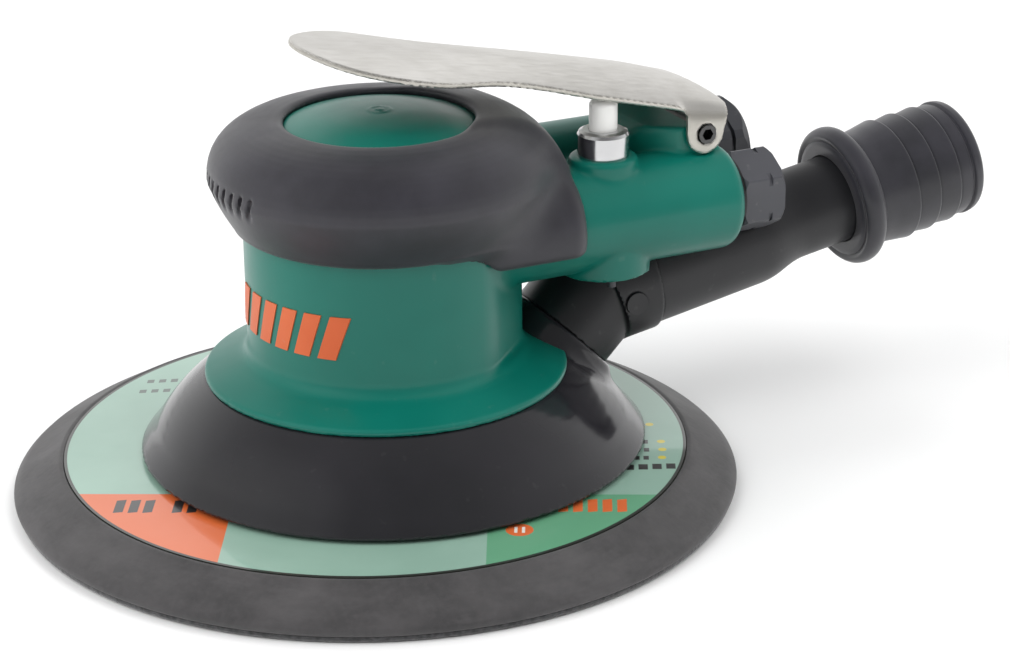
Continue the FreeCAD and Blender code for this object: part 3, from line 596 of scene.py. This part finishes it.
# ---------------------------------------------------------------- procedural materials
class Shade:
    """A Principled material with noise-driven colour, roughness and bump."""

    def __init__(self, name, rough=0.5, metal=0.0, coat=0.0, coat_rough=0.1, sheen=0.0, specular=0.5):
        self.mat = bpy.data.materials.new(name)
        self.mat.use_nodes = True
        self.tree = self.mat.node_tree
        self.bsdf = self.tree.nodes["Principled BSDF"]
        for key, value in (("Roughness", rough), ("Metallic", metal), ("Coat Weight", coat),
                           ("Coat Roughness", coat_rough), ("Sheen Weight", sheen),
                           ("Specular IOR Level", specular)):
            self.bsdf.inputs[key].default_value = value
        self.where = self.tree.nodes.new("ShaderNodeTexCoord").outputs["Object"]
        self.normal = None

    def put(self, socket, value):
        if isinstance(value, bpy.types.NodeSocket):
            self.tree.links.new(value, socket)
        elif hasattr(socket.default_value, "__len__") and len(socket.default_value) == 4:
            socket.default_value = (*value[:3], 1.0)
        else:
            socket.default_value = value

    def node(self, kind, out=0, options=None, **inputs):
        n = self.tree.nodes.new(kind)
        for key, value in (options or {}).items():
            setattr(n, key, value)
        for key, value in inputs.items():
            self.put(n.inputs[int(key[1:]) if key[1:].isdigit() else key.replace("_", " ")], value)
        return n.outputs[out]

    def noise(self, scale, detail=4.0, rough=0.55, stretch=None):
        vector = self.where
        if stretch:
            vector = self.node("ShaderNodeMapping", Vector=self.where, Scale=stretch)
        return self.node("ShaderNodeTexNoise", Vector=vector, Scale=scale, Detail=detail, Roughness=rough)

    def cells(self, scale):
        return self.node("ShaderNodeTexVoronoi", Vector=self.where, Scale=scale)

    def math(self, operation, a, b=0.0):
        return self.node("ShaderNodeMath", 0, {"operation": operation}, i0=a, i1=b)

    def span(self, value, a, b, c=0.0, d=1.0):
        """value taken from the range a..b to the range c..d."""
        n = self.tree.nodes.new("ShaderNodeMapRange")
        self.put(n.inputs["Value"], value)
        for key, number in (("From Min", a), ("From Max", b), ("To Min", c), ("To Max", d)):
            n.inputs[key].default_value = number
        return n.outputs[0]

    def blend(self, share, a, b):
        n = self.tree.nodes.new("ShaderNodeMix")
        n.data_type = "RGBA"
        self.put(n.inputs[0], share)
        self.put(n.inputs[6], a)
        self.put(n.inputs[7], b)
        return n.outputs[2]

    def xyz(self):
        n = self.tree.nodes.new("ShaderNodeSeparateXYZ")
        self.put(n.inputs[0], self.where)
        return n.outputs

    def edges(self, low=0.49, high=0.56):
        """1 on convex edges, 0 elsewhere."""
        n = self.tree.nodes.new("ShaderNodeNewGeometry")
        return self.span(n.outputs["Pointiness"], low, high)

    def bump(self, height, strength, depth_mm):
        n = self.tree.nodes.new("ShaderNodeBump")
        n.inputs["Strength"].default_value = strength
        n.inputs["Distance"].default_value = depth_mm * MM
        self.put(n.inputs["Height"], height)
        if self.normal is not None:
            self.put(n.inputs["Normal"], self.normal)
        self.normal = n.outputs[0]
        return self

    def done(self, colour, rough=None):
        self.put(self.bsdf.inputs["Base Color"], colour)
        if rough is not None:
            self.put(self.bsdf.inputs["Roughness"], rough)
        if self.normal is not None:
            self.put(self.bsdf.inputs["Normal"], self.normal)
        return self.mat


def srgb(r, g, b):
    return tuple(((v / 255 + 0.055) / 1.055) ** 2.4 if v > 10 else v / 255 / 12.92 for v in (r, g, b))


def plastic(name, dark, light, rough, grain=900.0, grain_mm=0.012, coat=0.0, dust=0.15, specular=0.5):
    """Moulded plastic: cloudy tone, fine surface grain, faint wiped patches."""
    s = Shade(name, coat=coat, coat_rough=0.12, specular=specular)
    cloud = s.noise(28.0, 3.0)
    fine = s.noise(grain, 3.0)
    colour = s.blend(s.span(cloud, 0.35, 0.65), dark, light)
    speck = s.span(s.noise(420.0, 2.0), 0.68, 0.78, 0.0, dust)
    colour = s.blend(speck, colour, (0.45, 0.45, 0.43))
    s.bump(fine, 0.35, grain_mm)
    s.bump(s.noise(60.0, 2.0), 0.25, 0.05)
    return s.done(colour, s.span(s.noise(45.0, 5.0), 0.3, 0.7, rough * 0.85, rough * 1.15))


def rubber(name, dark, light, rough, pores=0.02, mottle=0.0):
    s = Shade(name, sheen=0.12)
    cloud = s.noise(60.0, 6.0, 0.65)
    colour = s.blend(s.span(cloud, 0.35, 0.68), dark, light)
    if mottle:
        chips = s.span(s.cells(520.0), 0.15, 0.5, 0.0, 1.0)
        fleck = s.span(s.noise(700.0, 3.0, 0.6), 0.45, 0.7)
        colour = s.blend(s.math("MULTIPLY", fleck, mottle), colour, light)
        s.bump(chips, 0.25, 0.06)
        scuff = s.span(s.noise(35.0, 8.0, 0.7, (1, 1, 6)), 0.5, 0.75, 0.0, mottle)
        colour = s.blend(scuff, colour, tuple(v * 1.7 for v in light))
    s.bump(s.noise(1600.0, 3.0), 0.5, pores)
    s.bump(s.noise(90.0, 3.0), 0.2, 0.06)
    return s.done(colour, s.span(s.noise(80.0, 4.0), 0.3, 0.7, rough - 0.07, rough + 0.07))


def metal(name, dark, light, rough, stretch=(1, 1, 1), scratch=0.008, wear=0.0):
    """Metal with directional tool marks and faint stains."""
    s = Shade(name, metal=1.0)
    lines = s.noise(900.0, 4.0, 0.6, stretch)
    stain = s.noise(55.0, 5.0, 0.6)
    colour = s.blend(s.span(stain, 0.35, 0.7), light, dark)
    if wear:
        colour = s.blend(s.math("MULTIPLY", s.edges(), wear), colour, tuple(min(1, v * 1.3) for v in light))
    s.bump(lines, 0.4, scratch)
    return s.done(colour, s.span(lines, 0.25, 0.75, rough * 0.75, rough * 1.3))


def label_print():
    """Printed pad label under gloss film: pale green ground, orange and mid-green fields, small generic marks, and a
    dark rim band that is painted shade of the gap between label and foam.
    """
    s = Shade("label_print", coat=1.0, coat_rough=0.06)
    x, y, _ = s.xyz()
    x = s.math("SUBTRACT", x, float(ORBIT[0]) * MM)
    y = s.math("SUBTRACT", y, float(ORBIT[1]) * MM)

    def beyond(angle_deg, offset_mm, soft=0.06):
        """1 beyond a straight line whose normal points at the angle."""
        a = math.radians(angle_deg)
        d = s.math("ADD", s.math("MULTIPLY", x, math.cos(a)), s.math("MULTIPLY", y, math.sin(a)))
        return s.span(d, (offset_mm - soft) * MM, (offset_mm + soft) * MM)

    def both(*masks):
        out = masks[0]
        for m in masks[1:]:
            out = s.math("MULTIPLY", out, m)
        return out

    def patch(centre, angle_deg, long, wide, slant=0.0):
        """Small parallelogram about a centre."""
        sides = []
        for turn, size in ((0, long), (180, long), (90 + slant, wide), (270 + slant, wide)):
            a = math.radians(angle_deg + turn)
            middle = centre[0] * math.cos(a) + centre[1] * math.sin(a)
            sides.append(beyond(angle_deg + turn, middle - size / 2))
        return both(*sides)

    def within(centre, r_mm, soft=0.06):
        dx = s.math("SUBTRACT", x, centre[0] * MM)
        dy = s.math("SUBTRACT", y, centre[1] * MM)
        d = s.math("SQRT", s.math("ADD", s.math("MULTIPLY", dx, dx), s.math("MULTIPLY", dy, dy)))
        return s.span(d, (r_mm - soft) * MM, (r_mm + soft) * MM, 1.0, 0.0)

    chord, chord_at = -117.1, 27.45
    c, n = math.cos(math.radians(chord)), math.sin(math.radians(chord))

    def on_chord(along_mm, out_mm):
        return (-n * along_mm + c * out_mm, c * along_mm + n * out_mm)

    cloudy = s.span(s.noise(40.0, 4.0), 0.35, 0.65)
    colour = s.blend(cloudy, srgb(146, 180, 164), srgb(154, 188, 172))
    orange, leaf, ink = srgb(224, 110, 58), srgb(104, 166, 130), srgb(50, 48, 48)
    near = beyond(chord, chord_at)
    colour = s.blend(both(near, beyond(152.8, 26.2)), colour, orange)
    colour = s.blend(both(near, beyond(-26.6, 24.0)), colour, leaf)
    for k in (0, 1, 2, 4, 5):
        colour = s.blend(patch(on_chord(-48.6 + 2.9 * k, 33.2), chord + 90, 1.9, 5.6, 12), colour, ink)
    for k in range(5):
        colour = s.blend(patch(on_chord(39.0 + 2.9 * k, 32.6), chord + 90, 1.9, 5.6, 12), colour, orange)
    for k in range(4):
        colour = s.blend(patch((40.1 + 2.6 * k, -36.6 - 1.1 * k), chord + 90, 1.9, 2.6), colour, ink)
    for at in ((52.1, -28.1), (50.4, -31.8), (48.4, -35.3)):
        for k in range(3):
            spot = (at[0] - 3.0 - 1.7 * k, at[1] + 1.3 + 0.8 * k)
            colour = s.blend(patch(spot, chord + 90, 1.1, 1.9), colour, ink)
        colour = s.blend(within(at, 0.85), colour, srgb(226, 208, 70))
    colour = s.blend(within((54.2, -19.2), 0.85), colour, srgb(226, 208, 70))
    for row, count in enumerate((4, 3)):
        for k in range(count):
            spot = (-35.0 + 2.4 * k + 3.4 * row, 46.6 - 0.9 * k + 4.6 * row)
            colour = s.blend(patch(spot, chord + 90, 1.5, 1.8, 10), colour, srgb(92, 104, 98))
    colour = s.blend(within((7.3, -52.9), 2.7), colour, orange)
    colour = s.blend(patch((6.7, -52.5), chord + 90, 0.6, 2.6), colour, srgb(240, 236, 228))
    colour = s.blend(patch((8.0, -53.2), chord + 90, 0.6, 2.6), colour, srgb(240, 236, 228))
    # painted shade: a dark band past 63.75 mm stands for the shadow in the gap between label and foam
    colour = s.blend(within((0, 0), 63.75), srgb(52, 54, 50), colour)
    s.bump(s.noise(120.0, 2.0), 0.08, 0.05)
    return s.done(colour, s.span(s.noise(60.0, 5.0), 0.3, 0.7, 0.3, 0.45))


def lever_steel():
    """Satin stamped steel: fine brushing along the sheet, soft stains, and painted shade that darkens faces turned
    sideways.
    """
    s = Shade("lever_steel", metal=1.0)
    s.bsdf.inputs["Anisotropic"].default_value = 0.35
    fine = s.noise(1100.0, 4.0, 0.6, (0.12, 1.0, 1.0))
    swirl = s.noise(26.0, 3.0, 0.5)
    rings = s.noise(180.0, 4.0, 0.65, (1.0, 0.5, 1.0))
    tone = s.math("ADD", s.math("MULTIPLY", swirl, 0.6), s.math("MULTIPLY", rings, 0.4))
    colour = s.blend(s.span(tone, 0.38, 0.62), (0.84, 0.82, 0.785), (0.75, 0.73, 0.69))
    colour = s.blend(s.span(s.noise(120.0, 6.0, 0.7), 0.6, 0.8, 0.0, 0.3), colour, (0.55, 0.52, 0.47))
    # painted shade: faces whose normal turns away from upright are blended towards a darker steel colour
    facing_up = s.tree.nodes.new("ShaderNodeSeparateXYZ")
    s.put(facing_up.inputs[0], s.tree.nodes.new("ShaderNodeNewGeometry").outputs["True Normal"])
    side = s.span(s.math("ABSOLUTE", facing_up.outputs[2]), 0.35, 0.6, 1.0, 0.0)
    colour = s.blend(s.math("MULTIPLY", side, 0.8), colour, (0.50, 0.48, 0.43))
    s.bump(fine, 0.3, 0.012)
    s.bump(s.noise(70.0, 2.0), 0.2, 0.06)
    return s.done(colour, s.span(fine, 0.3, 0.7, 0.34, 0.5))


def hook_nylon():
    s = Shade("hook_nylon", sheen=0.6)
    loops = s.cells(900.0)
    rows = s.noise(1400.0, 2.0)
    colour = s.blend(s.span(loops, 0.2, 0.7), srgb(40, 40, 42), srgb(70, 70, 72))
    colour = s.blend(s.span(rows, 0.4, 0.7, 0.0, 0.5), colour, srgb(30, 30, 31))
    s.bump(loops, 0.7, 0.12)
    s.bump(rows, 0.4, 0.05)
    return s.done(colour, s.span(rows, 0.3, 0.7, 0.75, 0.95))


def felt():
    s = Shade("felt", sheen=0.5)
    strands = s.noise(1300.0, 6.0, 0.7, (1.0, 0.3, 1.0))
    colour = s.blend(s.span(strands, 0.3, 0.7), srgb(120, 116, 108), srgb(172, 168, 158))
    s.bump(strands, 0.9, 0.2)
    return s.done(colour, s.span(strands, 0.3, 0.7, 0.8, 0.97))


MATERIALS = {
    "housing": plastic("housing_green", srgb(6, 104, 91), srgb(10, 113, 99), 0.34, 700.0, 0.008, 0.1, 0.04, 0.35),
    "grip_rubber": rubber("grip_rubber", srgb(40, 39, 45), srgb(52, 51, 58), 0.44),
    "shroud_plastic": plastic("shroud_black", srgb(32, 32, 35), srgb(40, 39, 43), 0.14, 500.0, 0.002, 0.2, 0.02, 0.4),
    "badge_print": plastic("badge_orange", srgb(206, 92, 44), srgb(216, 104, 54), 0.45),
    "alloy": metal("alloy", (0.50, 0.51, 0.53), (0.68, 0.69, 0.71), 0.35, (1, 1, 0.1)),
    "steel": metal("turned_steel", (0.42, 0.42, 0.43), (0.60, 0.60, 0.61), 0.32, (1, 1, 8)),
    "bearing_steel": metal("bearing_steel", (0.55, 0.55, 0.56), (0.74, 0.74, 0.75), 0.16, (1, 1, 8), 0.003),
    "felt": felt(),
    "bright_metal": metal("bright_bushing", (0.52, 0.52, 0.53), (0.68, 0.68, 0.68), 0.18, (1, 1, 10), 0.004),
    "brass": metal("brass", (0.55, 0.38, 0.16), (0.78, 0.58, 0.28), 0.28, (8, 1, 1)),
    "spring_steel": metal("spring_steel", (0.34, 0.34, 0.36), (0.52, 0.52, 0.54), 0.28),
    "dark_metal": plastic("bushing_grey", srgb(66, 67, 72), srgb(80, 80, 86), 0.36, 1200.0, 0.02, 0.0, 0.12),
    "seal_rubber": rubber("seal_rubber", srgb(20, 20, 21), srgb(30, 30, 31), 0.5),
    "cap_plastic": plastic("cap_grey", srgb(48, 49, 54), srgb(60, 61, 66), 0.42, 1100.0, 0.02, 0.0, 0.08),
    "black_plastic": plastic("hose_black", srgb(24, 24, 27), srgb(33, 33, 36), 0.4, 1100.0, 0.015, 0.0, 0.05),
    "black_steel": metal("black_steel", (0.05, 0.05, 0.05), (0.10, 0.10, 0.10), 0.35, (1, 8, 1), 0.006, 0.6),
    "vane_fibre": plastic("vane_fibre", srgb(110, 72, 44), srgb(142, 96, 60), 0.55),
    "pad_plate": plastic("pad_plate", srgb(92, 98, 90), srgb(112, 118, 108), 0.5, 500.0, 0.05),
    "pad_rubber": rubber("pad_rubber", srgb(56, 55, 56), srgb(76, 74, 75), 0.6, 0.03, 0.4),
    "hook_nylon": hook_nylon(),
    "label_print": label_print(),
    "lever_steel": lever_steel(),
    "white_plastic": plastic("white_acetal", srgb(240, 240, 237), srgb(246, 246, 243), 0.34, 800.0, 0.01, 0.1, 0.0),
    "hose_rubber": rubber("hose_rubber", srgb(36, 36, 41), srgb(50, 49, 56), 0.38),
}


def dress(obj, slot):
    obj.data.materials.clear()
    obj.data.materials.append(MATERIALS[slot])
    return obj


def place(obj, body, slot, *nodes):
    """Materials, body and CAD nodes of a finished piece."""
    dress(obj, slot)
    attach(obj, body)
    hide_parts(*nodes)
    return obj


# ---------------------------------------------------------------- pieces
FINE = 1.0

place(moulded("housing_moulding", housing, (-39, -39, 23), (74, 39, 82), 0.55 * FINE),
      "housing", "housing", "housing")
place(moulded("grip_moulding", grip, (-37, -37, 48), (38, 37, 81), 0.5 * FINE),
      "housing", "grip_rubber", "grip_sleeve")
place(moulded("shroud_moulding", shroud, (-53, -53, 7), (53, 53, 37), 0.6 * FINE),
      "housing", "shroud_plastic", "shroud")
place(moulded("elbow_moulding", elbow, (25, -16, 12), (64, 16, 52), 0.45 * FINE),
      "housing", "black_plastic", "exhaust_elbow")
place(moulded("hose_tube_moulding", hose_tube, (50, -14, 20), (121, 14, 60), 0.5 * FINE),
      "housing", "black_plastic", "hose_tube")
place(moulded("lever_pressing", lever, (-21, -24, 63), (78, 24, 98), 0.4 * FINE),
      "lever", "lever_steel", "throttle_lever")


def dust_hole_tools(z0, z1, r=5.0):
    tools = []
    for k in range(6):
        a = math.radians(60 * k)
        at = ORBIT + 40.0 * np.array([math.cos(a), math.sin(a), 0])
        tools.append(lathe("tool_%d" % k, [(0, z0), (r, z0), (r, z1), (0, z1)], at, UP, 48))
    return tools


foam_outline = rounded([(0, 1.1), (74.5, 1.1), (75.0, 1.7), (74.9, 2.5), (73.6, 3.8), (69.0, 6.3),
                        (65.3, 8.35), (64.5, 8.2), (64.45, 5.4), (0, 5.4)],
                       [0, 0.3, 0.5, 0.7, 1.5, 2.5, 0.5, 0.2, 0, 0])
foam = place(carve(lathe("pad_foam_body", foam_outline, ORBIT, UP, 256), dust_hole_tools(0, 7)),
             "pad", "pad_rubber", "pad_foam")
hook_outline = rounded([(0, 0), (74.2, 0), (74.45, 0.4), (74.45, 1.08), (0, 1.08)], [0, 0.3, 0.3, 0.1, 0])
place(carve(lathe("pad_hook_layer", hook_outline, ORBIT, UP, 256), dust_hole_tools(-1, 2)),
      "pad", "hook_nylon", "pad_hook_face")

plunger_outline = rounded([(0, 56.7), (2.0, 56.7), (2.9, 57.6), (2.9, 61.6), (2.2, 61.6), (2.2, 63.2),
                           (2.9, 63.2), (2.9, 78.7), (2.2, 79.5), (0, 79.65)],
                          [0, 0.2, 0.3, 0.1, 0, 0, 0.1, 0.6, 0.8, 0])
place(lathe("plunger_pin", plunger_outline, VALVE, UP, 96), "plunger", "white_plastic", "valve_plunger")

BARB_PITCH, BARB_AT, BARB_R, ROOT_R = 5.45, 5.8, 13.62, 12.65
sleeve = [(9.8, -5.5), (12.5, -5.5), (12.8, -4.0), (12.8, 0.5)]
sleeve_rims = [0.1, 0.3, 0.5, 1.5]
for k in range(3):
    crest, root, at = BARB_R - 0.2 * k, ROOT_R - 0.12 * k, BARB_AT + BARB_PITCH * k
    sleeve += [(crest, at), (crest - 0.17, at + 0.4), (root, at + 0.5), (root + 0.2, at + 1.1)]
    sleeve_rims += [0.25, 0.2, 0.1, 0.2]
# end lip, then back through the bore past the snap ring's groove
sleeve += [(12.65, 20.3), (12.35, 20.5), (12.35, 20.9), (13.0, 21.2), (12.7, 23.1), (11.1, 24.0),
           (10.7, 23.8), (10.7, 4.4), (9.8, 3.4), (9.8, 0.25), (10.78, 0.25), (10.78, -1.65), (9.8, -1.65)]
sleeve_rims += [0.1, 0.1, 0.1, 0.3, 0.8, 0.6, 0.2, 0.3, 0.1, 0, 0, 0, 0]
place(lathe("hose_adapter_sleeve", rounded(sleeve, sleeve_rims), HOSE_REF, HOSE_DIR, 160), "hose_end", "hose_rubber",
      "hose_adapter")
collar_outline = rounded(
    [(9.85, -8.4), (12.2, -8.4), (13.0, -8.1), (13.1, -7.7), (14.2, -8.3), (15.3, -7.2), (15.6, -5.7),
     (15.3, -4.3), (14.2, -3.2), (12.85, -2.7), (12.85, -4.0), (12.55, -5.55), (9.85, -5.55)],
    [0.3, 0.4, 0.4, 0.3, 0.8, 0.9, 0.9, 0.9, 0.9, 0.3, 0, 0, 0])
place(lathe("hose_collar_bead", collar_outline, HOSE_REF, HOSE_DIR, 160), "hose_end", "hose_rubber",
      "hose_collar")

# carried-over CAD nodes: material by slot, machined edges eased
SLOT_OF = {row["node"]: row["material_slot"] for row in frame["record"]["subparts"]}
EASED = {"inlet_bushing": 0.25, "muffler_cap": 0.45, "valve_bushing": 0.2, "lever_pin": 0.15,
         "regulator_handle": 0.2, "elbow_screw": 0.15}
for name, node in NODES.items():
    if node.hide_render:
        continue
    dress(node, SLOT_OF[name])
    if name in EASED:
        ease = node.modifiers.new("ease", "BEVEL")
        ease.width = EASED[name] * MM
        ease.segments = 3
        ease.limit_method = "ANGLE"
        ease.angle_limit = math.radians(28)
        ease.harden_normals = True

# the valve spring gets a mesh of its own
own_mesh(NODES["valve_spring"])

# ---------------------------------------------------------------- stage, light, camera
floor_mesh = bpy.data.meshes.new("floor")
floor_mesh.from_pydata([(-4, -4, -0.0003), (4, -4, -0.0003), (4, 4, -0.0003), (-4, 4, -0.0003)], [],
                       [(0, 1, 2, 3)])
floor = bpy.data.objects.new("floor", floor_mesh)
bpy.context.scene.collection.objects.link(floor)
paper = Shade("floor_paper", rough=0.9, specular=0.1)
floor_mesh.materials.append(paper.done((0.92, 0.92, 0.92)))


def area_light(name, where, target, size, power):
    data = bpy.data.lights.new(name, "AREA")
    data.shape = "SQUARE"
    data.size = size
    data.energy = power
    obj = bpy.data.objects.new(name, data)
    bpy.context.scene.collection.objects.link(obj)
    obj.location = where
    obj.rotation_euler = (Vector(target) - Vector(where)).to_track_quat("-Z", "Y").to_euler()
    return obj


# broad lamps that shape the diffuse light; the surfaces mirror only the sky
for name, where, size, power in (("key", (-1.1, -0.2, 1.2), 1.6, 19.0), ("back", (0.5, 1.0, 1.1), 1.2, 6.0),
                                 ("fill", (0.7, -0.6, 1.1), 1.2, 9.0)):
    area_light(name, where, (0, 0, 0.04), size, power).visible_glossy = False

# bright horizon, darker overhead and on the side in front of the tool, soft bright patch on its left
world = bpy.data.worlds.new("studio")
bpy.context.scene.world = world
sky = Shade.__new__(Shade)
world.use_nodes = True
sky.tree = world.node_tree
toward = sky.tree.nodes.new("ShaderNodeTexCoord").outputs["Generated"]


def facing(x, y, z, a, b, low, high):
    """Sky factor that runs from low to high as the view turns towards a direction."""
    aim = Vector((x, y, z)).normalized()
    dot = sky.node("ShaderNodeVectorMath", "Value", {"operation": "DOT_PRODUCT"}, i0=toward, i1=tuple(aim))
    return sky.span(dot, a, b, low, high)


glow = sky.math("MULTIPLY", facing(0, 0, 1, 0.35, 0.85, 1.0, 0.5), facing(-0.39, -0.92, 0, -0.6, 0.9, 1.0, 0.3))
glow = sky.math("ADD", glow, facing(-0.9, -0.05, 0.5, 0.80, 0.99, 0.0, 0.3))
sky.put(sky.tree.nodes["Background"].inputs["Strength"], glow)
sky.tree.nodes["Background"].inputs["Color"].default_value = (1.0, 1.0, 1.0, 1)

CAMERA_AT = Vector((-0.2084, -0.4910, 0.2421))
CAMERA_AIM = Vector((0.4024, 0.8386, -0.3672)).normalized()
CAMERA_ROLL = -0.010
right = CAMERA_AIM.cross(Vector((0, 0, 1))).normalized()
above = right.cross(CAMERA_AIM)
tilted_right = right * math.cos(CAMERA_ROLL) + above * math.sin(CAMERA_ROLL)
tilted_up = above * math.cos(CAMERA_ROLL) - right * math.sin(CAMERA_ROLL)
camera_data = bpy.data.cameras.new("camera")
camera_data.lens = 99.5
camera_data.sensor_width = 36.0
camera = bpy.data.objects.new("camera", camera_data)
bpy.context.scene.collection.objects.link(camera)
camera.matrix_world = Matrix((
    (tilted_right.x, tilted_up.x, -CAMERA_AIM.x, CAMERA_AT.x),
    (tilted_right.y, tilted_up.y, -CAMERA_AIM.y, CAMERA_AT.y),
    (tilted_right.z, tilted_up.z, -CAMERA_AIM.z, CAMERA_AT.z),
    (0, 0, 0, 1)))
bpy.context.scene.camera = camera
bpy.context.scene.view_settings.view_transform = "Standard"
